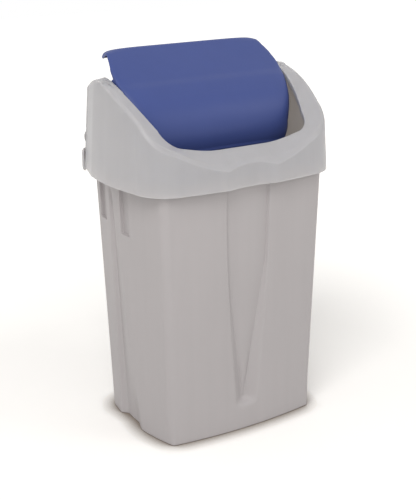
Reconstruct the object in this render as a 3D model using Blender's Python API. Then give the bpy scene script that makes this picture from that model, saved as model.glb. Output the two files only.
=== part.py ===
# Swing lid bin of the 50 litre class: a moulded bucket, a hood that sits over its rim,
# and a curved lid that swings on two stub pins in the hood.
# Metres, +Z up. The front faces -Y. The origin is on the floor, under the middle of the bin.

import math

import bmesh
import bpy
from mathutils import Matrix, Vector

# Walls, clearances and overruns
WALL = 0.0025
SEAT_GAP = 0.0003
LID_SIDE_GAP = 0.0015
PIN_GAP = 0.0004
CUT_OVERRUN = 0.003

# Bucket outline at the floor and at the mouth
BUCKET_HEIGHT = 0.495
BASE_HALF_WIDTH = 0.154
BASE_SIDE_BOW = 0.019
BASE_FRONT = 0.1215
BASE_FRONT_BOW = 0.008
BASE_REAR = 0.113
MOUTH_HALF_WIDTH = 0.171
MOUTH_SIDE_BOW = 0.0135
MOUTH_FRONT = 0.1225
MOUTH_FRONT_BOW = 0.010
MOUTH_REAR = 0.131
BUCKET_REAR_BOW = 0.008
FOOT_REAR_CORNER = 0.038
BODY_REAR_CORNER = 0.024
FOOT_FRONT_CORNER = 0.006
BODY_FRONT_CORNER = 0.015
FLOOR_THICKNESS = 0.003
FOOT_ROUNDING = 0.003
RIM_OVERHANG = 0.003
RIM_HEIGHT = 0.010
RIM_ROUNDING = 0.001

# Tongue groove down the middle of the bucket's front
GROOVE_TOP_GAP = 0.033
GROOVE_TOP = BUCKET_HEIGHT - GROOVE_TOP_GAP
GROOVE_TIP = 0.061
GROOVE_CLOSING = 0.016
GROOVE_TOP_HALF_WIDTH = 0.0465
GROOVE_TIP_HALF_WIDTH = 0.0265
GROOVE_TOP_DEPTH = 0.005
GROOVE_TIP_DEPTH = 0.015
GROOVE_FLANK = 0.0035
GROOVE_BED_AT_TIP = 0.0015
GROOVE_SPREAD_SHARE = 0.71

# Tapering flute up each side of the bucket
FLUTE_TOP_GAP = 0.055
FLUTE_TOP = BUCKET_HEIGHT - FLUTE_TOP_GAP
FLUTE_REAR_EDGE = 0.051
FLUTE_FOOT_EDGE = -0.039
FLUTE_TOP_EDGE = 0.036
FLUTE_FOOT_DEPTH = 0.012
FLUTE_TOP_DEPTH = 0.003
FLUTE_FOOT_FLANK = 0.014
FLUTE_TOP_FLANK = 0.005
FLUTE_RAMP_SHARE = 0.45

# Stacking pockets near the top of each side
FRONT_POCKET = -0.0075
REAR_POCKET = 0.0825
FRONT_POCKET_HEIGHT = 0.116
REAR_POCKET_HEIGHT = 0.107
FRONT_POCKET_FOOT = BUCKET_HEIGHT - FRONT_POCKET_HEIGHT
REAR_POCKET_FOOT = BUCKET_HEIGHT - REAR_POCKET_HEIGHT
POCKET_LENGTH = 0.027
POCKET_DEPTH = 0.006
POCKET_STEP = 0.002
POCKET_TOP_GAP = 0.004
POCKET_RUN_IN = 0.080

# Hood skirt
HOOD_OVERLAP = 0.020
HOOD_FOOT = BUCKET_HEIGHT - HOOD_OVERLAP
SIDE_STANDOFF = 0.0135
HOOD_HALF_WIDTH = MOUTH_HALF_WIDTH + SIDE_STANDOFF
HOOD_SIDE_BOW = 0.0265
FRONT_STANDOFF = 0.0085
HOOD_FRONT = MOUTH_FRONT + FRONT_STANDOFF
HOOD_FRONT_BOW = 0.019
REAR_STANDOFF = 0.019
HOOD_REAR = MOUTH_REAR + REAR_STANDOFF
HOOD_REAR_BOW = 0.006
HOOD_FRONT_CORNER = 0.052
HOOD_REAR_CORNER = 0.030
HOOD_FACET_START = 0.070
HOOD_FACET_SLOPE = 0.32
HOOD_LEAN = 0.060

# Crease between the hood's skirt and its top band
CREASE_RISE = 0.173
CREASE_PEAK = HOOD_FOOT + CREASE_RISE
CREASE_FRONT_DROP = 0.115
CREASE_REAR_DROP = 0.038
CREASE_DIP = 0.030
CREASE_DIP_HALF_WIDTH = 0.150
SHOULDER_WIDTH = 0.007
SHOULDER_RISE = 0.0026
FRONT_SHOULDER_RISE = 0.0093
STRAIGHT_BEVEL_SHARE = 0.7
FRONT_FALL_POWER = 1.6
REAR_FALL_POWER = 1.5
PEAK_PLACE = 0.058

# Concave panel in the middle of the hood's front
ARCH_HALF_WIDTH = 0.050
ARCH_DEPTH = 0.008
ARCH_RISE = 0.013

# Mouth of the hood
SIDE_BAND = 0.033
EDGE_HALF_WIDTH = HOOD_HALF_WIDTH - SIDE_BAND
EDGE_SIDE_BOW = 0.0248
EDGE_BULGE_PLACE = 0.032
EDGE_FACET_START = 0.060
EDGE_FACET_SLOPE = 0.25
FRONT_BAND = 0.024
EDGE_FRONT = HOOD_FRONT - FRONT_BAND
EDGE_FRONT_BOW = 0.001
REAR_BAND = 0.026
EDGE_REAR = HOOD_REAR - REAR_BAND
EDGE_FRONT_CORNER = 0.028
EDGE_REAR_CORNER = 0.010
BAND_CAMBER = 0.0045
EDGE_PEAK = CREASE_PEAK + BAND_CAMBER
EDGE_FRONT_DROP = 0.092
EDGE_REAR_DROP = 0.023
EDGE_DIP = 0.024
EDGE_DIP_HALF_WIDTH = 0.132
EDGE_DIP_POWER = 4
FLANGE_DEPTH = 0.012
LEDGE_THICKNESS = 0.003

# Lid pivot, and how far the lid swings from shut to open
PIVOT_Y = 0.033
PIVOT_DROP = 0.0115
PIVOT_Z = EDGE_PEAK - PIVOT_DROP
LID_SWING_DEGREES = 38.0

# Lid shell: with the lid shut, a nearly flat plate rises from the rear to a ridge, and a rounded
# front falls from there into the mouth
LID_THICKNESS = 0.0025
LID_REAR_GAP = 0.0115
LID_REAR_RISE = 0.0215
LID_RIDGE_Y = -0.012
LID_RIDGE_RISE = 0.0085
LID_FRONT_RADIUS = 0.100
LID_BROW_RADIUS = 0.030
LID_RIDGE_STEP = 0.0015
LID_RIDGE_LENGTH = 0.008
LID_SINK = 0.0015
LID_REAR_SKIRT = 0.009
LID_REAR_CORNER = 0.008
LID_CROWN = 0.002
LID_SQUARENESS = 10
LID_ROLL_DEPTH = 0.008
LID_CORNER_SHARE = 0.8
LID_FOOT_SHARE = 0.5
LIP_DEPTH = 0.026
LIP_BEND = 0.007

# Stub pins on the lid, and their bosses under the top band of the hood
PIN_RADIUS = 0.0035
PIN_REACH = 0.013
EAR_RADIUS = 0.0115
EAR_THICKNESS = 0.004
BOSS_LENGTH = 0.030
BOSS_DEPTH = 0.014
DIMPLE_LENGTH = 0.040
DIMPLE_WIDTH = 0.009
DIMPLE_DEPTH = 0.0018

# Catches on the hood's rear corners
CATCH_WIDTH = 0.018
CATCH_REACH = 0.004
CATCH_ROOT = 0.0018
CATCH_HEIGHT = 0.044
CATCH_OVERHANG = 0.007
CATCH_FOOT = HOOD_FOOT - CATCH_OVERHANG
BUTTON_HEIGHT = 0.020
BUTTON_REACH = 0.002
BUTTON_PLACE = 0.048
BUTTON_FOOT = HOOD_FOOT + BUTTON_PLACE
CATCH_CORNER_SHARE = 0.35

# Number of steps along each stretch of an outline
ARCH_STEPS = 4
FRONT_STEPS = 6
FRONT_CORNER_STEPS = 7
SIDE_STEPS = 9
FACET_STEPS = 2
REAR_CORNER_STEPS = 5
REAR_STEPS = 4
TONGUE_STEPS = 4
WALL_STEPS = 5
LID_FLAT_STEPS = 8
LID_ROLL_STEPS = 5
LID_PLATE_STEPS = 9
LID_FRONT_STEPS = 13
LID_BROW_STEPS = 4
LID_WALL_STEPS = 5
LIP_STEPS = 4
ROUND_SEGMENTS = 32


def lerp(first, last, share):
    return first + (last - first) * share


def clamp(value):
    return max(0.0, min(1.0, value))


class Plan:
    """Outline seen from above: bowed sides and front, joined by rounded corners."""

    def __init__(self, half_width, side_bow, front, front_bow, rear, rear_bow,
                 front_corner, rear_corner, bulge_place=None, facet_start=None, facet_slope=0.0):
        self.half_width = half_width
        self.side_bow = side_bow
        self.front = front
        self.front_bow = front_bow
        self.rear = rear
        self.rear_bow = rear_bow
        self.front_corner = front_corner
        self.rear_corner = rear_corner
        self.bulge_place = (rear - front) / 2 if bulge_place is None else bulge_place
        self.facet_start = rear if facet_start is None else facet_start
        self.facet_slope = facet_slope
        self.front_reach = half_width - front_corner
        self.rear_reach = half_width - rear_corner
        self.side_start = front_corner - front
        self.side_end = rear - rear_corner

    def inset(self, distance):
        """The same outline with its walls moved inwards."""
        return Plan(self.half_width - distance, self.side_bow, self.front - distance,
                    self.front_bow, self.rear - distance, self.rear_bow,
                    self.front_corner - distance, self.rear_corner - distance,
                    self.bulge_place, self.facet_start, self.facet_slope)

    def front_y(self, x):
        return -self.front - self.front_bow * (1 - (x / self.half_width) ** 2)

    def rear_y(self, x):
        return self.rear + self.rear_bow * (1 - (x / self.half_width) ** 2)

    def side_x(self, y):
        bowed_y = min(y, self.facet_start)
        reach = (self.front + self.rear) / 2
        bow = self.side_bow * (1 - ((bowed_y - self.bulge_place) / reach) ** 2)
        return self.half_width + bow - (y - bowed_y) * self.facet_slope

    def point(self, zone, share):
        """A point on the right half; share runs along its zone, from the front to the rear."""
        if zone == "front":
            x = self.front_reach * share
            return x, self.front_y(x)
        if zone == "side":
            y = lerp(self.side_start, self.side_end, share)
            return self.side_x(y), y
        if zone == "rear":
            x = self.rear_reach * (1 - share)
            return x, self.rear_y(x)
        turn = share * math.pi / 2
        if zone == "front_corner":
            start_y = self.front_y(self.front_reach)
            end_x = self.side_x(self.side_start)
            x = lerp(self.front_reach, end_x, math.sin(turn))
            return x, lerp(self.side_start, start_y, math.cos(turn))
        start_x = self.side_x(self.side_end)
        end_y = self.rear_y(self.rear_reach)
        return lerp(self.rear_reach, start_x, math.cos(turn)), lerp(self.side_end, end_y, math.sin(turn))


BASE_PLAN = Plan(BASE_HALF_WIDTH, BASE_SIDE_BOW, BASE_FRONT, BASE_FRONT_BOW, BASE_REAR,
                 BUCKET_REAR_BOW, FOOT_FRONT_CORNER, FOOT_REAR_CORNER)
RIM_PLAN = Plan(MOUTH_HALF_WIDTH, MOUTH_SIDE_BOW, MOUTH_FRONT, MOUTH_FRONT_BOW, MOUTH_REAR,
                BUCKET_REAR_BOW, BODY_FRONT_CORNER, BODY_REAR_CORNER)
HOOD_PLAN = Plan(HOOD_HALF_WIDTH, HOOD_SIDE_BOW, HOOD_FRONT, HOOD_FRONT_BOW, HOOD_REAR,
                 HOOD_REAR_BOW, HOOD_FRONT_CORNER, HOOD_REAR_CORNER,
                 facet_start=HOOD_FACET_START, facet_slope=HOOD_FACET_SLOPE)
EDGE_PLAN = Plan(EDGE_HALF_WIDTH, EDGE_SIDE_BOW, EDGE_FRONT, EDGE_FRONT_BOW, EDGE_REAR,
                 0.0, EDGE_FRONT_CORNER, EDGE_REAR_CORNER, EDGE_BULGE_PLACE,
                 EDGE_FACET_START, EDGE_FACET_SLOPE)
LID_PLAN = EDGE_PLAN.inset(LID_SIDE_GAP)
LID_INNER_PLAN = LID_PLAN.inset(LID_THICKNESS)


def clear_scene():
    for item in list(bpy.data.objects):
        bpy.data.objects.remove(item, do_unlink=True)


def plastic(name, colour, roughness):
    material = bpy.data.materials.new(name)
    material.use_nodes = True
    shader = material.node_tree.nodes["Principled BSDF"]
    shader.inputs["Base Color"].default_value = (*colour, 1.0)
    shader.inputs["Roughness"].default_value = roughness
    shader.inputs["Metallic"].default_value = 0.0
    return material


def object_from(bm, name, material=None):
    """Turns a bmesh into a smooth-shaded object in the scene."""
    bm.normal_update()
    bmesh.ops.recalc_face_normals(bm, faces=bm.faces)
    mesh = bpy.data.meshes.new(name)
    bm.to_mesh(mesh)
    bm.free()
    mesh.shade_smooth()
    mesh.set_sharp_from_angle(angle=math.radians(30))
    item = bpy.data.objects.new(name, mesh)
    bpy.context.scene.collection.objects.link(item)
    if material:
        mesh.materials.append(material)
    return item


def full_ring(half):
    """Mirrors the right half of an outline, which starts and ends on the middle plane."""
    left = [Vector((-point.x, point.y, point.z)) for point in reversed(half[1:-1])]
    return half + left


def inset_ring(ring, distance):
    """Moves a level ring inwards by one wall, mitred at its corners."""
    moved = []
    for index, point in enumerate(ring):
        before = (point - ring[index - 1]).xy.normalized()
        after = (ring[(index + 1) % len(ring)] - point).xy.normalized()
        normal_before = Vector((-before.y, before.x))
        normal_after = Vector((-after.y, after.x))
        mitre = (normal_before + normal_after) / (1 + normal_before.dot(normal_after))
        moved.append(Vector((point.x + mitre.x * distance, point.y + mitre.y * distance, point.z)))
    return moved


def at_height(ring, z):
    return [Vector((point.x, point.y, z)) for point in ring]


def loft(bm, rings, close_ends=False, close_loop=False):
    """Joins rings of equal length with quads, one ring to the next."""
    rows = [[bm.verts.new(point) for point in ring] for ring in rings]
    pairs = list(zip(rows, rows[1:]))
    if close_loop:
        pairs.append((rows[-1], rows[0]))
    for lower, upper in pairs:
        for index in range(len(lower)):
            after = (index + 1) % len(lower)
            bm.faces.new((lower[index], lower[after], upper[after], upper[index]))
    if close_ends:
        bm.faces.new(rows[0])
        bm.faces.new(rows[-1])


def boolean(target, cutter, operation):
    """Adds an exact Boolean to the target and hides the object that it uses."""
    modifier = target.modifiers.new(operation.lower() + "_" + cutter.name, "BOOLEAN")
    modifier.operation = operation
    modifier.solver = "EXACT"
    modifier.object = cutter
    cutter.hide_render = True
    cutter.display_type = "WIRE"


def mirror_to_left(bm):
    """Adds the mirror image of what stands on the right."""
    bmesh.ops.mirror(bm, geom=bm.verts[:] + bm.edges[:] + bm.faces[:], axis="X", merge_dist=0.0)


# Bucket

def bucket_plan(z):
    """The plain outline at one height, without the grooves and pockets."""
    share = z / BUCKET_HEIGHT
    corner = lerp(FOOT_FRONT_CORNER, BODY_FRONT_CORNER, clamp(z / GROOVE_TIP))
    return Plan(lerp(BASE_PLAN.half_width, RIM_PLAN.half_width, share),
                lerp(BASE_PLAN.side_bow, RIM_PLAN.side_bow, share),
                lerp(BASE_PLAN.front, RIM_PLAN.front, share),
                lerp(BASE_PLAN.front_bow, RIM_PLAN.front_bow, share),
                lerp(BASE_PLAN.rear, RIM_PLAN.rear, share),
                BUCKET_REAR_BOW, corner, lerp(FOOT_REAR_CORNER, BODY_REAR_CORNER, share))


def front_half(plan, z):
    """Front of the bucket from the middle to the corner: tongue, groove bed, flank, plain wall."""
    share = clamp((z - GROOVE_TIP) / (GROOVE_TOP - GROOVE_TIP))
    edge = lerp(GROOVE_TIP_HALF_WIDTH, GROOVE_TOP_HALF_WIDTH, math.sin(share * math.pi / 2))
    bed = lerp(GROOVE_BED_AT_TIP, GROOVE_TOP_HALF_WIDTH - GROOVE_FLANK, clamp(share / GROOVE_SPREAD_SHARE))
    bed = min(bed, edge - GROOVE_FLANK)
    depth = lerp(GROOVE_TIP_DEPTH, GROOVE_TOP_DEPTH, share)
    if z < GROOVE_TIP or z > GROOVE_TOP:
        depth = 0.0
    points = []
    for step in range(TONGUE_STEPS + 1):
        x = bed * step / TONGUE_STEPS
        points.append(Vector((x, plan.front_y(x) + depth * (x / bed) ** 2, z)))
    if bed == GROOVE_BED_AT_TIP:
        for point in points:
            point.y = plan.front_y(point.x) + depth
    for step in range(FRONT_STEPS + 1):
        x = lerp(edge, plan.front_reach, step / FRONT_STEPS)
        points.append(Vector((x, plan.front_y(x), z)))
    return points


def side_stations(plan, z):
    """Places along the side at one height, with how far each lies below the plain side."""
    share = clamp(z / FLUTE_TOP)
    depth = lerp(FLUTE_FOOT_DEPTH, FLUTE_TOP_DEPTH, share) if z < FLUTE_TOP else 0.0
    flute_edge = lerp(FLUTE_FOOT_EDGE, FLUTE_TOP_EDGE, share)
    bed_end = FLUTE_REAR_EDGE - lerp(FLUTE_FOOT_FLANK, FLUTE_TOP_FLANK, share)
    bed_start = lerp(flute_edge, bed_end, FLUTE_RAMP_SHARE)
    stations = []
    half = POCKET_LENGTH / 2
    pocket_top = BUCKET_HEIGHT - RIM_HEIGHT - POCKET_TOP_GAP
    front_depth = POCKET_DEPTH if FRONT_POCKET_FOOT < z < pocket_top else 0.0
    corners = (-half - POCKET_STEP, -half, half, half + POCKET_STEP)
    settled = clamp((z - FRONT_POCKET_FOOT + POCKET_RUN_IN) / POCKET_RUN_IN)
    for order, corner in enumerate(corners):
        spread = lerp(plan.side_start, flute_edge, (order + 1) / (len(corners) + 1))
        inside = order in (1, 2)
        stations.append((lerp(spread, FRONT_POCKET + corner, settled), front_depth if inside else 0.0))
    stations.append((flute_edge, 0.0))
    stations.append((bed_start, depth))
    stations.append((bed_end, depth))
    stations.append((FLUTE_REAR_EDGE, 0.0))
    rear_depth = POCKET_DEPTH if REAR_POCKET_FOOT < z < pocket_top else 0.0
    for order, corner in enumerate(corners):
        spread = lerp(FLUTE_REAR_EDGE, plan.side_end, (order + 1) / (len(corners) + 1))
        inside = order in (1, 2)
        stations.append((lerp(spread, REAR_POCKET + corner, settled), rear_depth if inside else 0.0))
    return stations


def bucket_ring(z):
    """The bucket's outer skin at one height."""
    plan = bucket_plan(z)
    half = front_half(plan, z)
    for step in range(1, FRONT_CORNER_STEPS):
        half.append(Vector((*plan.point("front_corner", step / FRONT_CORNER_STEPS), z)))
    half.append(Vector((plan.side_x(plan.side_start), plan.side_start, z)))
    for y, depth in side_stations(plan, z):
        half.append(Vector((plan.side_x(y) - depth, y, z)))
    for step in range(REAR_CORNER_STEPS + 1):
        half.append(Vector((*plan.point("rear_corner", step / REAR_CORNER_STEPS), z)))
    for step in range(1, REAR_STEPS + 1):
        half.append(Vector((*plan.point("rear", step / REAR_STEPS), z)))
    return full_ring(half)


def bucket_levels():
    """Heights of the rings: evenly up the wall, and at each end of a groove or a pocket."""
    pocket_top = BUCKET_HEIGHT - RIM_HEIGHT - POCKET_TOP_GAP
    full_bed = lerp(GROOVE_TIP, GROOVE_TOP, GROOVE_SPREAD_SHARE)
    levels = [FOOT_ROUNDING, GROOVE_TIP - GROOVE_CLOSING, GROOVE_TIP]
    for step in range(1, WALL_STEPS + 1):
        levels.append(lerp(GROOVE_TIP, full_bed, step / WALL_STEPS))
    levels += [FRONT_POCKET_FOOT, FRONT_POCKET_FOOT + POCKET_STEP]
    levels += [REAR_POCKET_FOOT, REAR_POCKET_FOOT + POCKET_STEP]
    levels += [(REAR_POCKET_FOOT + FLUTE_TOP) / 2, FLUTE_TOP, GROOVE_TOP, (GROOVE_TOP + pocket_top) / 2]
    levels += [pocket_top, BUCKET_HEIGHT - RIM_HEIGHT]
    return sorted(levels)


def make_bucket(material):
    walls = [bucket_ring(z) for z in bucket_levels()]
    outer = []
    for turn in (0.0, math.pi / 4):
        drawn_in = FOOT_ROUNDING * (1 - math.sin(turn))
        outer.append(at_height(inset_ring(walls[0], drawn_in), FOOT_ROUNDING * (1 - math.cos(turn))))
    outer += walls
    rim = bucket_ring(BUCKET_HEIGHT)
    overhang = inset_ring(rim, -RIM_OVERHANG)
    outer.append(at_height(overhang, BUCKET_HEIGHT - RIM_HEIGHT))
    outer.append(at_height(overhang, BUCKET_HEIGHT - RIM_ROUNDING))
    outer.append(inset_ring(rim, RIM_ROUNDING - RIM_OVERHANG))
    inner = [at_height(inset_ring(walls[0], WALL), FLOOR_THICKNESS + FOOT_ROUNDING)]
    inner.insert(0, at_height(inset_ring(walls[0], WALL + FOOT_ROUNDING), FLOOR_THICKNESS))
    inner += [inset_ring(ring, WALL) for ring in walls[1:]]
    inner.append(inset_ring(rim, WALL))
    bm = bmesh.new()
    loft(bm, outer + list(reversed(inner)), close_ends=True)
    return object_from(bm, "bucket", material)


# Hood

def ridge_height(y, peak, front_reach, front_drop, rear_reach, rear_drop):
    """Height of a line that falls away from its peak towards the front and the rear."""
    if y < PEAK_PLACE:
        return peak - front_drop * ((PEAK_PLACE - y) / (PEAK_PLACE + front_reach)) ** FRONT_FALL_POWER
    return peak - rear_drop * ((y - PEAK_PLACE) / (rear_reach - PEAK_PLACE)) ** REAR_FALL_POWER


def crease_height(x, y):
    """Height at which the skirt ends and the top band begins."""
    height = ridge_height(y, CREASE_PEAK, HOOD_FRONT + HOOD_FRONT_BOW, CREASE_FRONT_DROP,
                          HOOD_REAR + HOOD_REAR_BOW, CREASE_REAR_DROP)
    if y < 0:
        height -= CREASE_DIP * max(0.0, 1 - (x / CREASE_DIP_HALF_WIDTH) ** 2)
    return height


def edge_height(x, y):
    """Height of the mouth's inner edge."""
    height = ridge_height(y, EDGE_PEAK, EDGE_FRONT + EDGE_FRONT_BOW, EDGE_FRONT_DROP,
                          EDGE_REAR, EDGE_REAR_DROP)
    if y < 0:
        height -= EDGE_DIP * max(0.0, 1 - (x / EDGE_DIP_HALF_WIDTH) ** EDGE_DIP_POWER)
    return height


def hood_plan(z):
    """Outline of the leaning skirt at one height."""
    return HOOD_PLAN.inset((z - HOOD_FOOT) * HOOD_LEAN)


def hood_stations():
    """Zone and share of each station round the right half of the hood."""
    arch_share = ARCH_HALF_WIDTH / HOOD_PLAN.front_reach
    side_length = HOOD_PLAN.side_end - HOOD_PLAN.side_start
    facet_share = (HOOD_FACET_START - HOOD_PLAN.side_start) / side_length
    stations = [("front", arch_share * step / ARCH_STEPS) for step in range(ARCH_STEPS + 1)]
    for step in range(1, FRONT_STEPS + 1):
        stations.append(("front", lerp(arch_share, 1.0, step / FRONT_STEPS)))
    for step in range(1, FRONT_CORNER_STEPS + 1):
        stations.append(("front_corner", step / FRONT_CORNER_STEPS))
    for step in range(1, SIDE_STEPS + 1):
        stations.append(("side", facet_share * step / SIDE_STEPS))
    for step in range(1, FACET_STEPS + 1):
        stations.append(("side", lerp(facet_share, 1.0, step / FACET_STEPS)))
    for step in range(1, REAR_CORNER_STEPS + 1):
        stations.append(("rear_corner", step / REAR_CORNER_STEPS))
    for step in range(1, REAR_STEPS + 1):
        stations.append(("rear", step / REAR_STEPS))
    return stations


def hood_section(zone, share):
    """The hood's outer skin at one station, from the foot of the skirt over to the flange."""
    foot_x, foot_y = HOOD_PLAN.point(zone, share)
    crease_z = crease_height(foot_x, foot_y)
    crease_x, crease_y = hood_plan(crease_z).point(zone, share)
    edge_x, edge_y = EDGE_PLAN.point(zone, share)
    edge = Vector((edge_x, edge_y, edge_height(edge_x, edge_y)))
    arch_share = 1 - (foot_x / ARCH_HALF_WIDTH) ** 2
    if zone == "front" and arch_share > 0:
        foot_y += ARCH_DEPTH * arch_share
        crease_y += ARCH_DEPTH * arch_share
        crease_z += ARCH_RISE * arch_share
    foot = Vector((foot_x, foot_y, HOOD_FOOT))
    crease = Vector((crease_x, crease_y, crease_z))
    forward = clamp((PEAK_PLACE - foot_y) / (PEAK_PLACE + HOOD_FRONT + HOOD_FRONT_BOW))
    across = (edge - crease).xy
    inward = across.normalized() * min(SHOULDER_WIDTH, across.length / 2)
    rise = lerp(SHOULDER_RISE, FRONT_SHOULDER_RISE, forward)
    crest = crease + Vector((inward.x, inward.y, rise))
    straight = clamp((forward - STRAIGHT_BEVEL_SHARE) / (1 - STRAIGHT_BEVEL_SHARE))
    bulge_in = lerp(1 - math.cos(math.pi / 4), 1 / 2, straight)
    bulge_up = lerp(math.sin(math.pi / 4), 1 / 2, straight)
    shoulder = crease + Vector((inward.x * bulge_in, inward.y * bulge_in, rise * bulge_up))
    flange = edge - Vector((0, 0, FLANGE_DEPTH))
    return foot, crease, shoulder, crest, edge, flange


def make_ledge():
    """Inner ledge that rests on the bucket's rim, let into the skirt's wall."""
    foot = BUCKET_HEIGHT + SEAT_GAP
    top = foot + LEDGE_THICKNESS
    bm = bmesh.new()
    inner = RIM_PLAN
    rings = []
    for z in (foot, top):
        sections = [Vector((*inner.point(zone, share), z)) for zone, share in hood_stations()]
        rings.append(full_ring(sections))
    skirt = []
    for zone, share in hood_stations():
        outer_foot, crease = hood_section(zone, share)[:2]
        climb = (foot - outer_foot.z) / (crease.z - outer_foot.z)
        skirt.append(outer_foot.lerp(crease, climb))
    outer = inset_ring(full_ring(skirt), WALL / 2)
    rings += [at_height(outer, top), at_height(outer, foot)]
    loft(bm, rings, close_loop=True)
    return object_from(bm, "hood_ledge")


def add_catch(bm, foot, height, reach):
    """A rounded upright block on the right rear corner of the skirt, let into its wall."""
    plan = hood_plan(foot).inset(CATCH_ROOT)
    x, y = plan.point("rear_corner", CATCH_CORNER_SHARE)
    ahead_x, ahead_y = plan.point("rear_corner", CATCH_CORNER_SHARE + CATCH_CORNER_SHARE / 10)
    place = Matrix.Translation((x, y, foot + height / 2))
    place = place @ Matrix.Rotation(math.atan2(ahead_y - y, ahead_x - x), 4, "Z")
    ball = bmesh.new()
    bmesh.ops.create_uvsphere(ball, u_segments=ROUND_SEGMENTS // 2, v_segments=ROUND_SEGMENTS // 4 + 1,
                              radius=CATCH_WIDTH / 2)
    for vert in ball.verts:
        vert.co.y *= (reach + CATCH_ROOT) / (CATCH_WIDTH / 2)
        vert.co.z += math.copysign((height - CATCH_WIDTH) / 2, vert.co.z)
    everything = ball.verts[:] + ball.edges[:] + ball.faces[:]
    cut = bmesh.ops.bisect_plane(ball, geom=everything, dist=0.0, plane_co=(0, 0, 0), plane_no=(0, 1, 0),
                                 clear_outer=True)
    back = [edge for edge in cut["geom_cut"] if isinstance(edge, bmesh.types.BMEdge)]
    bmesh.ops.contextual_create(ball, geom=back)
    bmesh.ops.transform(ball, matrix=place, verts=ball.verts)
    copy = bpy.data.meshes.new("catch")
    ball.to_mesh(copy)
    ball.free()
    bm.from_mesh(copy)
    bpy.data.meshes.remove(copy)


def make_catches():
    bm = bmesh.new()
    add_catch(bm, CATCH_FOOT, CATCH_HEIGHT, CATCH_REACH)
    add_catch(bm, BUTTON_FOOT, BUTTON_HEIGHT, BUTTON_REACH)
    mirror_to_left(bm)
    return object_from(bm, "hood_catches")


def make_bosses():
    """Bosses under the top band that carry the stub pins of the lid."""
    near = EDGE_PLAN.side_x(PIVOT_Y) - WALL / 4
    far = hood_plan(PIVOT_Z).side_x(PIVOT_Y) - WALL / 2
    ends = [PIVOT_Y - BOSS_LENGTH / 2, PIVOT_Y, PIVOT_Y + BOSS_LENGTH / 2]
    profile = [(y, edge_height(near, y) - WALL / 2) for y in ends]
    profile += [(y, PIVOT_Z - BOSS_DEPTH) for y in (ends[2], ends[0])]
    bm = bmesh.new()
    loft(bm, [[Vector((x, y, z)) for y, z in profile] for x in (near, far)], close_ends=True)
    mirror_to_left(bm)
    return object_from(bm, "hood_bosses")


def disc(x, radius):
    """A ring of points round the pivot's axis."""
    turns = [2 * math.pi * step / ROUND_SEGMENTS for step in range(ROUND_SEGMENTS)]
    return [Vector((x, radius * math.cos(turn), radius * math.sin(turn))) for turn in turns]


def make_pin_holes():
    """Blind holes in the bosses' inner faces, one for each stub pin."""
    near = EDGE_PLAN.side_x(PIVOT_Y) - CUT_OVERRUN
    far = LID_PLAN.side_x(PIVOT_Y) + PIN_REACH + PIN_GAP
    bm = bmesh.new()
    loft(bm, [disc(x, PIN_RADIUS + PIN_GAP) for x in (near, far)], close_ends=True)
    bmesh.ops.translate(bm, vec=(0, PIVOT_Y, PIVOT_Z), verts=bm.verts)
    mirror_to_left(bm)
    return object_from(bm, "hood_pin_holes")


def make_dimples():
    """Shallow oval hollows in the top band, over the bosses."""
    crest = hood_plan(CREASE_PEAK).side_x(PIVOT_Y) - SHOULDER_WIDTH
    edge = EDGE_PLAN.side_x(PIVOT_Y)
    height = (edge_height(edge, PIVOT_Y) + crease_height(crest, PIVOT_Y) + SHOULDER_RISE) / 2
    bm = bmesh.new()
    bmesh.ops.create_uvsphere(bm, u_segments=ROUND_SEGMENTS, v_segments=ROUND_SEGMENTS // 2,
                              radius=DIMPLE_DEPTH)
    stretch = Matrix.Diagonal((DIMPLE_WIDTH / 2 / DIMPLE_DEPTH, DIMPLE_LENGTH / 2 / DIMPLE_DEPTH, 1, 1))
    place = Matrix.Translation(((crest + edge) / 2, PIVOT_Y, height))
    bmesh.ops.transform(bm, matrix=place @ stretch, verts=bm.verts)
    mirror_to_left(bm)
    return object_from(bm, "hood_dimples")


def make_hood(material):
    sections = [hood_section(zone, share) for zone, share in hood_stations()]
    rings = [full_ring([section[row] for section in sections]) for row in range(len(sections[0]))]
    bm = bmesh.new()
    loft(bm, rings)
    hood = object_from(bm, "hood", material)
    thicken = hood.modifiers.new("wall", "SOLIDIFY")
    thicken.thickness = WALL
    thicken.offset = -1.0
    thicken.use_even_offset = True
    boolean(hood, make_bosses(), "UNION")
    boolean(hood, make_pin_holes(), "DIFFERENCE")
    boolean(hood, make_dimples(), "DIFFERENCE")
    boolean(hood, make_ledge(), "UNION")
    boolean(hood, make_catches(), "UNION")
    return hood


# Lid

def lip_profile(rear_y, rear_z):
    """Points up the outer face of the rear lip and round its bend, with the lid shut."""
    bend_y = rear_y - LIP_BEND
    bend_z = rear_z - LIP_BEND
    points = [(rear_y, rear_z - LIP_DEPTH)]
    for step in range(LIP_STEPS):
        turn = math.pi / 2 * step / LIP_STEPS
        points.append((bend_y + LIP_BEND * math.cos(turn), bend_z + LIP_BEND * math.sin(turn)))
    return points


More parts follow.
